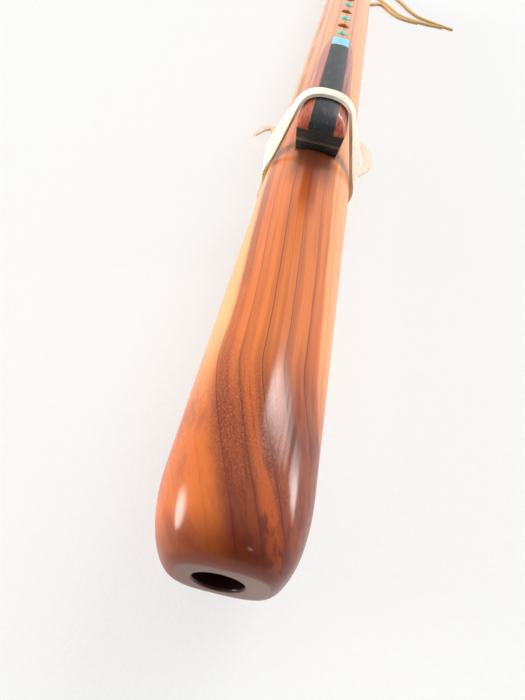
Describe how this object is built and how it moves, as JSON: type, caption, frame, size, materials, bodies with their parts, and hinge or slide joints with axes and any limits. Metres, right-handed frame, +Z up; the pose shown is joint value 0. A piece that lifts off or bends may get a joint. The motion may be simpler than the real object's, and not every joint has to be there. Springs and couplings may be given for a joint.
{
  "type": "native american flute",
  "caption": "Wooden duct flute with a rounded mouth end, a strapped laminated block over the flue, turquoise inlays between the finger holes and a leather fringe at the foot.",
  "frame": {"origin": "on the floor, below the middle of the body", "axes": "+X along the body from the mouth end to the foot, +Z up through the block, +Y to the left"},
  "size_m": [0.6789, 0.1538, 0.0621],
  "materials": {
    "cedar": "oiled and lacquered to a high gloss",
    "dark_wood": "satin",
    "ebony": "polished",
    "rosewood": "glossy",
    "turquoise": null,
    "strap_leather": "soft cream deerskin",
    "lace_leather": "soft tan deerskin"
  },
  "bodies": {
    "flute": {"body_upper_half": "cedar", "body_lower_half": "cedar", "turquoise_dot_1": "turquoise", "turquoise_dot_2": "turquoise", "turquoise_dot_3": "turquoise", "turquoise_dot_4": "turquoise", "turquoise_dot_5": "turquoise", "turquoise_dot_6": "turquoise", "turquoise_dot_7": "turquoise", "strap_winding": "strap_leather", "strap_knot": "strap_leather", "strap_tail_left": "strap_leather", "strap_tail_right": "strap_leather", "foot_lace_winding": "lace_leather", "foot_lace_knot": "lace_leather", "fringe_strand_1": "lace_leather", "fringe_strand_2": "lace_leather", "fringe_strand_3": "lace_leather"},
    "block": {"block_base": "dark_wood", "block_core": "ebony", "block_turquoise_tip": "turquoise", "block_left_cheek": "rosewood", "block_right_cheek": "rosewood"}
  },
  "joints": [
    {"name": "block_slide", "type": "slide", "parent": "flute", "child": "block", "axis": [1, 0, 0], "range_m": [-0.002, 0.003]}
  ]
}
